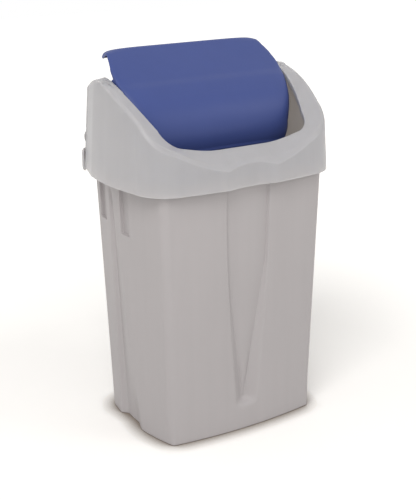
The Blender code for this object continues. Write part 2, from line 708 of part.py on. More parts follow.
def plate_profile(rear_y, rear_z):
    """Points along the outer face from the bend over the ridge to the front end."""
    ridge_z = EDGE_PEAK + LID_RIDGE_RISE
    front_y = LID_PLAN.front_y(0)
    front_z = lid_side_end(LID_PLAN, front_y, ridge_z, 1.0).z
    points = []
    for step in range(LID_PLATE_STEPS):
        share = step / LID_PLATE_STEPS
        points.append((lerp(rear_y - LIP_BEND, LID_RIDGE_Y, share), lerp(rear_z, ridge_z, share)))
    brow_sine = (LID_RIDGE_Y - front_y - LID_BROW_RADIUS) / (LID_FRONT_RADIUS - LID_BROW_RADIUS)
    brow_turn = math.asin(brow_sine)
    centre_z = ridge_z - LID_FRONT_RADIUS
    for step in range(LID_FRONT_STEPS):
        turn = brow_turn * step / LID_FRONT_STEPS
        radius = LID_FRONT_RADIUS - LID_RIDGE_STEP * clamp(turn * LID_FRONT_RADIUS / LID_RIDGE_LENGTH)
        points.append((LID_RIDGE_Y - radius * math.sin(turn), centre_z + radius * math.cos(turn)))
    brow_y = front_y + LID_BROW_RADIUS
    brow_z = centre_z + (LID_FRONT_RADIUS - LID_BROW_RADIUS) * math.cos(brow_turn)
    for step in range(LID_BROW_STEPS):
        turn = lerp(brow_turn, math.pi / 2, step / LID_BROW_STEPS)
        points.append((brow_y - LID_BROW_RADIUS * math.sin(turn), brow_z + LID_BROW_RADIUS * math.cos(turn)))
    for step in range(LID_WALL_STEPS + 1):
        points.append((front_y, lerp(brow_z, front_z, step / LID_WALL_STEPS)))
    return points


def inner_line(points):
    """The line of the inner face, one wall thickness inside the outer one."""
    moved = []
    for index, (y, z) in enumerate(points):
        before = Vector(points[max(index - 1, 0)])
        after = Vector(points[min(index + 1, len(points) - 1)])
        along = (after - before).normalized()
        moved.append((y - along.y * LID_THICKNESS, z + along.x * LID_THICKNESS))
    return moved


def lid_side_end(plan, y, z, corner_share):
    """Where one line across the lid ends, on an outline that fits inside the mouth."""
    if corner_share <= 0:
        x = plan.side_x(y)
    elif corner_share < LID_CORNER_SHARE:
        x, y = plan.point("front_corner", 1 - corner_share / LID_CORNER_SHARE)
    else:
        along = (corner_share - LID_CORNER_SHARE) / (1 - LID_CORNER_SHARE)
        x, y = plan.point("front", lerp(1.0, LID_FOOT_SHARE, along))
    foot = edge_height(x, y) - LID_SINK
    if y > PIVOT_Y:
        foot = max(foot, z - LID_REAR_SKIRT)
    return Vector((x, y, foot))


def lid_row(middle, end, crown):
    """One line across the lid, from left to right: a flat crown that rolls down at both ends."""
    corner = 0.5 ** (1 / LID_SQUARENESS)
    roll = clamp((middle[1] - end.z) / LID_ROLL_DEPTH)
    shares = []
    for step in range(LID_FLAT_STEPS + 1):
        across = corner * math.sin(math.pi / 2 * step / LID_FLAT_STEPS)
        shares.append((across, (1 - across ** LID_SQUARENESS) ** (1 / LID_SQUARENESS)))
    for step in range(1, LID_ROLL_STEPS + 1):
        up = corner * math.cos(math.pi / 2 * step / LID_ROLL_STEPS)
        across = (1 - up ** LID_SQUARENESS) ** (1 / LID_SQUARENESS)
        shares.append((lerp(lerp(corner, 1.0, step / LID_ROLL_STEPS), across, roll), up))
    half = []
    for across, up in shares:
        y = lerp(end.y, middle[0], up)
        z = lerp(end.z, middle[1] - crown * across ** 2, up)
        half.append(Vector((end.x * across, y, z)))
    return [Vector((-point.x, point.y, point.z)) for point in half[:0:-1]] + half


def lid_lip_end(y, z, rear_y):
    """Where one line across the lip ends, inside the lid's rounded rear corners."""
    along = clamp((y - rear_y) / LID_REAR_CORNER + 1)
    corner = LID_REAR_CORNER * (1 - math.sqrt(1 - along ** 2))
    return Vector((LID_PLAN.side_x(y) - corner, y, z))


def lid_skins():
    """Lines across the lid's outer and inner face, from the tip of its lip to its front end."""
    rear_y = EDGE_REAR - LID_REAR_GAP
    rear_z = edge_height(0, rear_y) + LID_REAR_RISE
    lip = lip_profile(rear_y, rear_z)
    outer_line = lip + plate_profile(rear_y, rear_z)
    count = len(outer_line)
    corner_count = len([y for y, z in outer_line if y <= LID_PLAN.side_start])
    outer = []
    inner = []
    for index, (line, inside) in enumerate(zip(outer_line, inner_line(outer_line))):
        if index <= len(lip):
            end = lid_lip_end(*line, rear_y)
            inner_end = Vector((end.x, *inside))
        else:
            share = (index + 1 + corner_count - count) / corner_count
            end = lid_side_end(LID_PLAN, *line, share)
            inner_end = lid_side_end(LID_INNER_PLAN, *line, share)
            inner_end.z = end.z
        crown = LID_CROWN if index < count - 1 else 0.0
        outer.append(lid_row(line, end, crown))
        inner.append(lid_row(inside, inner_end, crown))
    return outer, inner


def make_pins():
    """An ear under each side edge of the lid, with a stub pin that points outwards."""
    side_x = LID_PLAN.side_x(PIVOT_Y)
    profile = [(side_x - EAR_THICKNESS, EAR_RADIUS), (side_x, EAR_RADIUS),
               (side_x, PIN_RADIUS), (side_x + PIN_REACH, PIN_RADIUS)]
    bm = bmesh.new()
    loft(bm, [disc(x, radius) for x, radius in profile], close_ends=True)
    mirror_to_left(bm)
    return object_from(bm, "lid_pins")


def make_lid(material):
    """The lid is shaped shut, about its pivot, and then turned open on the pivot's axis."""
    pivot = Vector((0, PIVOT_Y, PIVOT_Z))
    bm = bmesh.new()
    outer, inner = [[[bm.verts.new(point - pivot) for point in row] for row in skin] for skin in lid_skins()]
    rings = []
    for outer_row, inner_row in zip(outer, inner):
        rings.append(outer_row + inner_row[::-1])
    for first, second in zip(rings, rings[1:]):
        for index, corner in enumerate(first):
            bm.faces.new((first[index - 1], corner, second[index], second[index - 1]))
    for ring in (rings[0], rings[-1]):
        count = len(ring) // 2
        for index in range(count - 1):
            bm.faces.new((ring[index], ring[index + 1], ring[-index - 2], ring[-index - 1]))
    bmesh.ops.recalc_face_normals(bm, faces=bm.faces)
    lid = object_from(bm, "swing_lid", material)
    lid.location = pivot
    lid.rotation_euler.x = math.radians(LID_SWING_DEGREES)
    pins = make_pins()
    pins.parent = lid
    boolean(lid, pins, "UNION")
    return lid


clear_scene()
make_bucket(plastic("bucket_plastic", (0.43, 0.40, 0.39), 0.45))
make_hood(plastic("hood_plastic", (0.50, 0.47, 0.47), 0.40))
make_lid(plastic("lid_plastic", (0.085, 0.10, 0.30), 0.35))
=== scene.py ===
import math

import bmesh
import bpy
from mathutils import Matrix, Vector


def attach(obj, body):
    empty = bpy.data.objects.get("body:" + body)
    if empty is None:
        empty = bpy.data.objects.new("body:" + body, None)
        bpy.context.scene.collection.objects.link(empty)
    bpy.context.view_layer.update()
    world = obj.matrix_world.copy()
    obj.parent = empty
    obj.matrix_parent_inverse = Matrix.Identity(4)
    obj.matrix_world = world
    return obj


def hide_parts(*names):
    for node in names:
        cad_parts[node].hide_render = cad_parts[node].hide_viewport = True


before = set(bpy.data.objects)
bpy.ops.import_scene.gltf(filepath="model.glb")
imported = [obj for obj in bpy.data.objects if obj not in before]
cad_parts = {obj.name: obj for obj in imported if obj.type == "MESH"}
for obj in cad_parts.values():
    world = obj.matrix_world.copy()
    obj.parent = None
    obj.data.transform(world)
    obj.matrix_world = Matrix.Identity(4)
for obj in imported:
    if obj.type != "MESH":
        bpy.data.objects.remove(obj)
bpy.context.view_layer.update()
scene = bpy.context.scene
scene.view_settings.view_transform = "Standard"

# Camera
# A long lens stands well back, to the left of the bin's front and a little above it, so the upright
# walls stay nearly parallel. Sizes are in metres: x to the bin's right, y to its rear, z up.
camera_azimuth = math.radians(-33.0)
camera_elevation = math.radians(18.7)
camera_distance = 2.08525
camera_aim = Vector((0.0, 0.0, 0.31635))
camera_data = bpy.data.cameras.new("long_lens")
camera_data.sensor_width = 36.0
camera_data.lens = 79.2
camera = bpy.data.objects.new("camera", camera_data)
scene.collection.objects.link(camera)
camera_side = Vector((math.sin(camera_azimuth) * math.cos(camera_elevation),
                      -math.cos(camera_azimuth) * math.cos(camera_elevation),
                      math.sin(camera_elevation)))
camera.location = camera_aim + camera_side * camera_distance
camera.rotation_euler = camera_side.to_track_quat("Z", "Y").to_euler()
scene.camera = camera

# Bucket
# The tall tub that holds the liner, one injection moulding in warm light grey polypropylene.
# Its walls taper for release from the mould, its rim is turned outwards under the hood, and a groove
# in the shape of a tongue is sunk into its front.
wall = 0.0025
bucket_height = 0.495
base_half_width = 0.154
base_side_bow = 0.019
base_front = 0.1215
base_front_bow = 0.012
base_rear = 0.113
mouth_half_width = 0.171
mouth_side_bow = 0.0135
mouth_front = 0.1225
mouth_front_bow = 0.010
mouth_rear = 0.131
bucket_rear_bow = 0.008
foot_rear_corner = 0.038
body_rear_corner = 0.024
foot_front_corner = 0.006
body_front_corner = 0.015
floor_thickness = 0.003
foot_rounding = 0.003
rim_overhang = 0.003
rim_height = 0.010
rim_rounding = 0.0012
rim_root = rim_overhang / 3

groove_top_gap = 0.033
groove_top = bucket_height - groove_top_gap
groove_tip = 0.061
groove_closing = 0.016
groove_top_half_width = 0.0465
groove_tip_half_width = 0.0265
groove_top_depth = 0.005
groove_tip_depth = 0.015
groove_flank = 0.0035
groove_bed_at_tip = 0.0015
groove_spread_share = 0.71
groove_deep_share = 0.67
groove_flank_softness = 0.6
bed_crown = 0.25
bed_crown_growth = 5

flute_top_gap = 0.055
flute_top = bucket_height - flute_top_gap
flute_rear_edge = 0.051
flute_foot_edge = -0.039
flute_top_edge = 0.036
flute_foot_depth = 0.012
flute_top_depth = 0.005
flute_foot_flank = 0.014
flute_top_flank = 0.005
flute_ramp_share = 0.45
flute_ramp_depth = 0.3
flute_ramp_height = 0.12

front_pocket = -0.0075
rear_pocket = 0.0825
front_pocket_drop = 0.116
rear_pocket_drop = 0.107
pocket_length = 0.027
pocket_depth = 0.006
pocket_step = 0.002
pocket_top_gap = 0.004
pocket_run_in = 0.080
front_pocket_foot = bucket_height - front_pocket_drop
rear_pocket_foot = bucket_height - rear_pocket_drop
pocket_top = bucket_height - rim_height - pocket_top_gap
side_edge_softness = 0.7
side_bed_softness = 0.2

bed_steps = 16
groove_flank_steps = 10
plain_front_steps = 12
plain_front_spacing = 1.5
side_mark_steps = 5
body_front_corner_steps = 14
body_rear_steps = 12
groove_tip_levels = 14
middle_levels = 46
pocket_step_levels = 4
pocket_levels = 18
pocket_top_levels = 3
foot_arc_steps = 5
rim_arc_steps = 3

bucket_grey = (0.425, 0.396, 0.396)


def lerp(first, last, share):
    return first + (last - first) * share


def clamp(value):
    return max(0.0, min(1.0, value))


def smooth(share):
    """Runs from 0 to 1 with a soft start and a soft end."""
    share = clamp(share)
    return share * share * (3 - 2 * share)


class Outline:
    """A moulding's outline seen from above: bowed sides and front, joined by rounded corners."""

    def __init__(self, half_width, side_bow, front, front_bow, rear, rear_bow, front_corner, rear_corner,
                 bulge_place=None, facet_start=None, facet_slope=0.0):
        self.half_width = half_width
        self.side_bow = side_bow
        self.front = front
        self.front_bow = front_bow
        self.rear = rear
        self.rear_bow = rear_bow
        self.front_corner = front_corner
        self.rear_corner = rear_corner
        self.bulge_place = (rear - front) / 2 if bulge_place is None else bulge_place
        self.facet_start = rear if facet_start is None else facet_start
        self.facet_slope = facet_slope
        self.front_reach = half_width - front_corner
        self.rear_reach = half_width - rear_corner
        self.side_start = front_corner - front
        self.side_end = rear - rear_corner

    def inset(self, distance):
        return Outline(self.half_width - distance, self.side_bow, self.front - distance, self.front_bow,
                       self.rear - distance, self.rear_bow, self.front_corner - distance,
                       self.rear_corner - distance, self.bulge_place, self.facet_start, self.facet_slope)

    def front_y(self, x):
        return -self.front - self.front_bow * (1 - (x / self.half_width) ** 2)

    def rear_y(self, x):
        return self.rear + self.rear_bow * (1 - (x / self.half_width) ** 2)

    def side_x(self, y):
        bowed_y = min(y, self.facet_start)
        reach = (self.front + self.rear) / 2
        bow = self.side_bow * (1 - ((bowed_y - self.bulge_place) / reach) ** 2)
        return self.half_width + bow - (y - bowed_y) * self.facet_slope

    def point(self, zone, share):
        """A point on the right half; share runs along its zone, from the front to the rear."""
        if zone == "front":
            x = self.front_reach * share
            return x, self.front_y(x)
        if zone == "side":
            y = lerp(self.side_start, self.side_end, share)
            return self.side_x(y), y
        if zone == "rear":
            x = self.rear_reach * (1 - share)
            return x, self.rear_y(x)
        turn = share * math.pi / 2
        if zone == "front_corner":
            start_y = self.front_y(self.front_reach)
            end_x = self.side_x(self.side_start)
            x = lerp(self.front_reach, end_x, math.sin(turn))
            return x, lerp(self.side_start, start_y, math.cos(turn))
        start_x = self.side_x(self.side_end)
        end_y = self.rear_y(self.rear_reach)
        return lerp(self.rear_reach, start_x, math.cos(turn)), lerp(self.side_end, end_y, math.sin(turn))


def bucket_outline(z):
    """The bucket's outline at height z, without its groove, flutes and pockets."""
    share = z / bucket_height
    corner = lerp(foot_front_corner, body_front_corner, clamp(z / groove_tip))
    return Outline(lerp(base_half_width, mouth_half_width, share), lerp(base_side_bow, mouth_side_bow, share),
                   lerp(base_front, mouth_front, share), lerp(base_front_bow, mouth_front_bow, share),
                   lerp(base_rear, mouth_rear, share), bucket_rear_bow, corner,
                   lerp(foot_rear_corner, body_rear_corner, share))


def front_line(outline, z):
    """Across the front from the middle: the groove's slightly crowned bed, its flank, the plain wall."""
    share = clamp((z - groove_tip) / (groove_top - groove_tip))
    edge = lerp(groove_tip_half_width, groove_top_half_width, math.sin(share * math.pi / 2))
    spread = clamp(share / groove_spread_share)
    bed = lerp(groove_bed_at_tip, groove_top_half_width - groove_flank, spread)
    bed = min(bed, edge - groove_flank)
    closing = smooth((z - groove_tip + groove_closing) / groove_closing)
    fading = 1 - smooth((z - groove_top) / (pocket_top - groove_top))
    depth = lerp(groove_tip_depth, groove_top_depth, clamp(share / groove_deep_share)) * closing * fading
    crown = bed_crown * smooth(spread * bed_crown_growth)
    line = []
    for step in range(bed_steps + 1):
        across = step / bed_steps
        line.append((bed * across, depth * (1 - crown * (1 - across ** 2))))
    for step in range(1, groove_flank_steps + 1):
        up = step / groove_flank_steps
        line.append((lerp(bed, edge, up), depth * (1 - lerp(up, smooth(up), groove_flank_softness))))
    for step in range(1, plain_front_steps + 1):
        along = (step / plain_front_steps) ** plain_front_spacing
        line.append((lerp(edge, outline.front_reach, along), 0.0))
    return [Vector((x, outline.front_y(x) + sunk, z)) for x, sunk in line]


def side_line(outline, z):
    """Along the right side from the front: a stacking pocket, the flute and the second pocket."""
    share = clamp(z / flute_top)
    fading = 1 - smooth((z - flute_top) / (groove_top - flute_top))
    depth = lerp(flute_foot_depth, flute_top_depth, share) * fading
    flute_edge = lerp(flute_foot_edge, flute_top_edge, share)
    bed_end = flute_rear_edge - lerp(flute_foot_flank, flute_top_flank, share)
    bed_start = lerp(flute_edge, bed_end, flute_ramp_share)
    ramp = lerp(1.0, flute_ramp_depth, smooth(z / flute_ramp_height))
    half = pocket_length / 2
    corners = (-half - pocket_step, -half, half, half + pocket_step)
    settled = clamp((z - front_pocket_foot + pocket_run_in) / pocket_run_in)
    below_top = 1 - smooth((z - pocket_top + pocket_step) / pocket_step)

    def pocket(place, foot, start, end):
        sunk = pocket_depth * smooth((z - foot) / pocket_step) * below_top
        marks = []
        for order, corner in enumerate(corners):
            plain = lerp(start, end, (order + 1) / (len(corners) + 1))
            marks.append((lerp(plain, place + corner, settled), sunk if order in (1, 2) else 0.0))
        return marks

    marks = [(outline.side_start, 0.0)]
    marks += pocket(front_pocket, front_pocket_foot, outline.side_start, flute_edge)
    marks += [(flute_edge, 0.0), (bed_start, ramp * depth), (bed_end, depth), (flute_rear_edge, 0.0)]
    marks += pocket(rear_pocket, rear_pocket_foot, flute_rear_edge, outline.side_end)
    marks.append((outline.side_end, 0.0))
    line = []
    for (start, start_depth), (end, end_depth) in zip(marks, marks[1:]):
        for step in range(1, side_mark_steps + 1):
            along = step / side_mark_steps
            soft = side_edge_softness if start_depth == 0 or end_depth == 0 else side_bed_softness
            sunk = lerp(start_depth, end_depth, lerp(along, smooth(along), soft))
            y = lerp(start, end, along)
            line.append(Vector((outline.side_x(y) - sunk, y, z)))
    return line[:-1]


def full_ring(half):
    """Mirrors the right half of a ring, which starts and ends on the middle plane."""
    return half + [Vector((-point.x, point.y, point.z)) for point in reversed(half[1:-1])]


def zone_line(outline, zone, first, steps, z):
    """The points of one zone of an outline, from the first step on, at height z."""
    return [Vector((*outline.point(zone, step / steps), z)) for step in range(first, steps + 1)]


def bucket_ring(z, inset=0.0, level=None):
    """One ring round the bucket: its shape belongs to height z, and it lies at the given level."""
    outline = bucket_outline(z).inset(inset)
    half = front_line(outline, z)
    half += zone_line(outline, "front_corner", 1, body_front_corner_steps, z)
    half += side_line(outline, z)
    half += zone_line(outline, "rear_corner", 0, body_rear_steps, z)
    half += zone_line(outline, "rear", 1, body_rear_steps, z)
    ring = full_ring(half)
    if level is None:
        return ring
    return [Vector((point.x, point.y, level)) for point in ring]


def mesh_piece(name, rings, capped=False, sharp=40.0):
    """A smooth-shaded object whose skin runs from ring to ring."""
    bm = bmesh.new()
    rows = [[bm.verts.new(point) for point in ring] for ring in rings]
    for lower, upper in zip(rows, rows[1:]):
        for index in range(len(lower)):
            bm.faces.new((lower[index - 1], lower[index], upper[index], upper[index - 1]))
    if capped:
        bm.faces.new(rows[0])
        bm.faces.new(rows[-1])
    bmesh.ops.recalc_face_normals(bm, faces=bm.faces)
    mesh = bpy.data.meshes.new(name)
    bm.to_mesh(mesh)
    bm.free()
    mesh.shade_smooth()
    mesh.set_sharp_from_angle(angle=math.radians(sharp))
    item = bpy.data.objects.new(name, mesh)
    scene.collection.objects.link(item)
    return item


wall_levels = [foot_rounding + groove_tip * step / groove_tip_levels for step in range(groove_tip_levels + 1)]
wall_levels += [lerp(groove_tip, front_pocket_foot, step / middle_levels) for step in range(2, middle_levels)]
for pocket_foot in (front_pocket_foot, rear_pocket_foot):
    wall_levels += [pocket_foot + pocket_step * step / pocket_step_levels
                    for step in range(pocket_step_levels + 1)]
wall_levels += [lerp(rear_pocket_foot, pocket_top, step / pocket_levels) for step in range(1, pocket_levels)]
wall_levels += [pocket_top - pocket_step * step / pocket_top_levels for step in range(pocket_top_levels)]
wall_levels = sorted(wall_levels)
bucket_rings = []
for step in range(foot_arc_steps):
    turn = math.pi / 2 * step / foot_arc_steps
    drawn_in = foot_rounding * (1 - math.sin(turn))
    bucket_rings.append(bucket_ring(foot_rounding, drawn_in, foot_rounding * (1 - math.cos(turn))))
bucket_rings += [bucket_ring(z) for z in wall_levels]
under_rim = bucket_height - rim_height
bucket_rings.append(bucket_ring(under_rim, -rim_root))
rim_turns = [math.pi / 2 * step / rim_arc_steps for step in range(rim_arc_steps + 1)]
for turn in rim_turns:
    out = rim_overhang - rim_rounding * (1 - math.sin(turn))
    bucket_rings.append(bucket_ring(bucket_height, -out, under_rim + rim_rounding * (1 - math.cos(turn))))
for turn in rim_turns:
    out = rim_overhang - rim_rounding * (1 - math.cos(turn))
    bucket_rings.append(bucket_ring(bucket_height, -out, bucket_height - rim_rounding * (1 - math.sin(turn))))
bucket_rings.append(bucket_ring(bucket_height, wall - rim_rounding / 2))
bucket_rings.append(bucket_ring(bucket_height, wall, bucket_height - rim_rounding / 2))
# The inner face is seldom seen, so it has only every second level.
bucket_rings += [bucket_ring(z, wall) for z in reversed(wall_levels[2::2])]
bucket_rings.append(bucket_ring(foot_rounding, wall, floor_thickness + foot_rounding))
bucket_rings.append(bucket_ring(foot_rounding, wall + foot_rounding, floor_thickness))
bucket_shell = mesh_piece("bucket_shell", bucket_rings, capped=True)


def node(nodes, kind, place, **values):
    """Adds a shader node and sets its sockets or settings by name."""
    made = nodes.new(kind)
    made.location = place
    for key, value in values.items():
        if hasattr(made, key):
            setattr(made, key, value)
        else:
            made.inputs[key.replace("_", " ")].default_value = value
    return made


polypropylene_ior = 1.49
glow_tint = (1.0, 0.93, 0.84)
glow_reach = 0.014
colour_drift = 0.035
# How far the painted highlight on sharp convex edges pales the colour towards white.
edge_highlight_paleness = 0.18
duller_by = 0.06
shinier_by = 0.05


def moulded_plastic(name, colour, roughness, grain_size, grain_depth, gloss, glow_through=0.0):
    """Moulded polypropylene: fine spark grain, slow colour drift, faint flow lines and a painted highlight
    that pales sharp convex edges.
    """
    material = bpy.data.materials.new(name)
    material.use_nodes = True
    nodes = material.node_tree.nodes
    link = material.node_tree.links.new
    shader = nodes["Principled BSDF"]
    shader.inputs["IOR"].default_value = polypropylene_ior
    shader.inputs["Specular IOR Level"].default_value = gloss
    shader.inputs["Subsurface Weight"].default_value = glow_through
    shader.inputs["Subsurface Radius"].default_value = glow_tint
    shader.inputs["Subsurface Scale"].default_value = glow_reach
    place = node(nodes, "ShaderNodeTexCoord", (-1500, 0))
    drift = node(nodes, "ShaderNodeTexNoise", (-1100, 400), Scale=5.0, Detail=3.0, Roughness=0.5)
    link(place.outputs["Object"], drift.inputs["Vector"])
    stretch = node(nodes, "ShaderNodeMapping", (-1300, 100), Scale=(1.0, 1.0, 0.06))
    link(place.outputs["Object"], stretch.inputs["Vector"])
    flow = node(nodes, "ShaderNodeTexNoise", (-1100, 100), Scale=38.0, Detail=4.0, Roughness=0.55)
    link(stretch.outputs["Vector"], flow.inputs["Vector"])
    both = node(nodes, "ShaderNodeMath", (-900, 300), operation="ADD")
    link(drift.outputs["Fac"], both.inputs[0])
    link(flow.outputs["Fac"], both.inputs[1])
    tone = node(nodes, "ShaderNodeMapRange", (-700, 300), From_Min=0.6, From_Max=1.4)
    link(both.outputs["Value"], tone.inputs["Value"])
    darker = tuple((1 - colour_drift) * part for part in colour)
    lighter = tuple((1 + colour_drift) * part for part in colour)
    highlight_colour = tuple(lerp(part, 1.0, edge_highlight_paleness) for part in colour)
    body = node(nodes, "ShaderNodeMix", (-500, 300), data_type="RGBA", A=(*darker, 1.0), B=(*lighter, 1.0))
    link(tone.outputs["Result"], body.inputs["Factor"])
    # Painted highlight: sharp convex edges, found by their pointiness, are mixed towards a paler colour, as
    # if light caught them.
    shape = node(nodes, "ShaderNodeNewGeometry", (-900, 600))
    edge = node(nodes, "ShaderNodeMapRange", (-700, 600), From_Min=0.51, From_Max=0.60, To_Max=0.15)
    link(shape.outputs["Pointiness"], edge.inputs["Value"])
    painted_edge_highlight = node(nodes, "ShaderNodeMix", (-300, 400), data_type="RGBA", B=(*highlight_colour, 1.0))
    link(edge.outputs["Result"], painted_edge_highlight.inputs["Factor"])
    link(body.outputs["Result"], painted_edge_highlight.inputs["A"])
    link(painted_edge_highlight.outputs["Result"], shader.inputs["Base Color"])
    handled = node(nodes, "ShaderNodeTexNoise", (-1100, -200), Scale=11.0, Detail=5.0, Roughness=0.65)
    link(place.outputs["Object"], handled.inputs["Vector"])
    sheen = node(nodes, "ShaderNodeMapRange", (-700, -100), From_Min=0.3, From_Max=0.7,
                 To_Min=roughness - shinier_by, To_Max=roughness + duller_by)
    link(handled.outputs["Fac"], sheen.inputs["Value"])
    link(sheen.outputs["Result"], shader.inputs["Roughness"])
    grain = node(nodes, "ShaderNodeTexNoise", (-1100, -500), Scale=grain_size, Detail=2.0, Roughness=0.6)
    link(place.outputs["Object"], grain.inputs["Vector"])
    sink = node(nodes, "ShaderNodeTexNoise", (-1100, -750), Scale=9.0, Detail=1.0, Roughness=0.4)
    link(place.outputs["Object"], sink.inputs["Vector"])
    waves = node(nodes, "ShaderNodeBump", (-500, -700), Strength=0.25, Distance=0.0012)
    link(sink.outputs["Fac"], waves.inputs["Height"])
    skin = node(nodes, "ShaderNodeBump", (-250, -500), Strength=0.5, Distance=grain_depth)
    link(grain.outputs["Fac"], skin.inputs["Height"])
    link(waves.outputs["Normal"], skin.inputs["Normal"])
    link(skin.outputs["Normal"], shader.inputs["Normal"])
    return material


bucket_plastic = moulded_plastic("bucket_plastic", bucket_grey, roughness=0.46, grain_size=900.0,
                                 grain_depth=0.00012, gloss=0.45)
bucket_shell.data.materials.append(bucket_plastic)
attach(bucket_shell, "bucket")
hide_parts("bucket")

# Hood
# The lift-off top, a second moulding in the same grey with more gloss: a leaning skirt, a soft shoulder
# and a top band that falls to the front, turned down into the mouth as a flange. It drops over the rim.
skirt_overlap = 0.020
skirt_side_gap = 0.0135
skirt_front_gap = 0.0085
skirt_rear_gap = 0.019
hood_foot = bucket_height - skirt_overlap
hood_half_width = mouth_half_width + skirt_side_gap
hood_side_bow = 0.0264
hood_front = mouth_front + skirt_front_gap
hood_front_bow = 0.019
hood_rear = mouth_rear + skirt_rear_gap
hood_rear_bow = 0.006
hood_front_corner = 0.052
hood_rear_corner = 0.030
hood_facet_start = 0.070
hood_facet_slope = 0.32
hood_lean = 0.060

skirt_height = 0.173
crease_peak = hood_foot + skirt_height
crease_front_drop = 0.115
crease_rear_drop = 0.038
crease_dip = 0.030
crease_dip_half_width = 0.150
shoulder_width = 0.007
shoulder_rise = 0.0026
front_shoulder_rise = 0.0093
straight_bevel_share = 0.7
bevel_bulge = 0.25
front_fall_power = 1.6
rear_fall_power = 1.5
peak_place = 0.058

arch_half_width = 0.050
arch_depth = 0.008
arch_rise = 0.013

band_side_width = 0.033
band_front_width = 0.024
band_rear_width = 0.026
band_rise = 0.0045
edge_half_width = hood_half_width - band_side_width
edge_side_bow = 0.0248
edge_bulge_place = 0.032
edge_facet_start = 0.060
edge_facet_slope = 0.25
edge_front = hood_front - band_front_width
edge_front_bow = 0.001
edge_rear = hood_rear - band_rear_width
edge_front_corner = 0.028
edge_rear_corner = 0.010
edge_peak = crease_peak + band_rise
edge_front_drop = 0.092
edge_rear_drop = 0.023
edge_dip = 0.0215
edge_dip_end = 0.050
edge_dip_fade = 0.145
edge_radius = 0.0015
flange_depth = 0.012
dimple_length = 0.040
dimple_width = 0.009
dimple_depth = 0.0018
pivot_y = 0.033
pivot_drop = 0.0115
pivot_z = edge_peak - pivot_drop

arch_steps = 16
hood_front_steps = 12
hood_front_corner_steps = 20
hood_side_steps = 40
hood_facet_steps = 5
hood_rear_corner_steps = 16
hood_rear_steps = 12
skirt_steps = 12
skirt_end_share = 0.99
shoulder_steps = 8
band_steps = 14
edge_arc_steps = 3
flange_steps = 4

hood_grey = (0.448, 0.432, 0.439)
hood_edge_bevel = 0.0007
bevel_angle = math.radians(55)

hood_outline = Outline(hood_half_width, hood_side_bow, hood_front, hood_front_bow, hood_rear, hood_rear_bow,
                       hood_front_corner, hood_rear_corner, facet_start=hood_facet_start,
                       facet_slope=hood_facet_slope)
edge_outline = Outline(edge_half_width, edge_side_bow, edge_front, edge_front_bow, edge_rear, 0.0,
                       edge_front_corner, edge_rear_corner, edge_bulge_place, edge_facet_start,
                       edge_facet_slope)


def ridge_height(y, peak, front_reach, front_drop, rear_reach, rear_drop):
    """Height of a line that falls away from its peak towards the front and the rear."""
    if y < peak_place:
        return peak - front_drop * ((peak_place - y) / (peak_place + front_reach)) ** front_fall_power
    return peak - rear_drop * ((y - peak_place) / (rear_reach - peak_place)) ** rear_fall_power


def crease_height(x, y):
    """Height of the crease between the skirt and the shoulder, with its dip in the middle of the front."""
    height = ridge_height(y, crease_peak, hood_front + hood_front_bow, crease_front_drop,
                          hood_rear + hood_rear_bow, crease_rear_drop)
    if y < 0:
        height -= crease_dip * max(0.0, 1 - (x / crease_dip_half_width) ** 2)
    return height


def edge_height(x, y):
    """Height of the mouth's edge, with the dip in its front that runs out softly into the arms."""
    height = ridge_height(y, edge_peak, edge_front + edge_front_bow, edge_front_drop, edge_rear,
                          edge_rear_drop)
    if y < 0:
        height -= edge_dip * (1 - smooth((abs(x) - edge_dip_end) / edge_dip_fade))
    return height


def hood_stations():
    """Zone and share of each station round the right half of the hood."""
    arch_share = arch_half_width / hood_outline.front_reach
    side_start = hood_outline.side_start
    facet_share = (hood_facet_start - side_start) / (hood_outline.side_end - side_start)
    stretches = (("front", 0.0, arch_share, arch_steps),
                 ("front", arch_share, 1.0, hood_front_steps),
                 ("front_corner", 0.0, 1.0, hood_front_corner_steps),
                 ("side", 0.0, facet_share, hood_side_steps),
                 ("side", facet_share, 1.0, hood_facet_steps),
                 ("rear_corner", 0.0, 1.0, hood_rear_corner_steps),
                 ("rear", 0.0, 1.0, hood_rear_steps))
    stations = [("front", 0.0)]
    for zone, start, end, steps in stretches:
        stations += [(zone, lerp(start, end, step / steps)) for step in range(1, steps + 1)]
    return stations


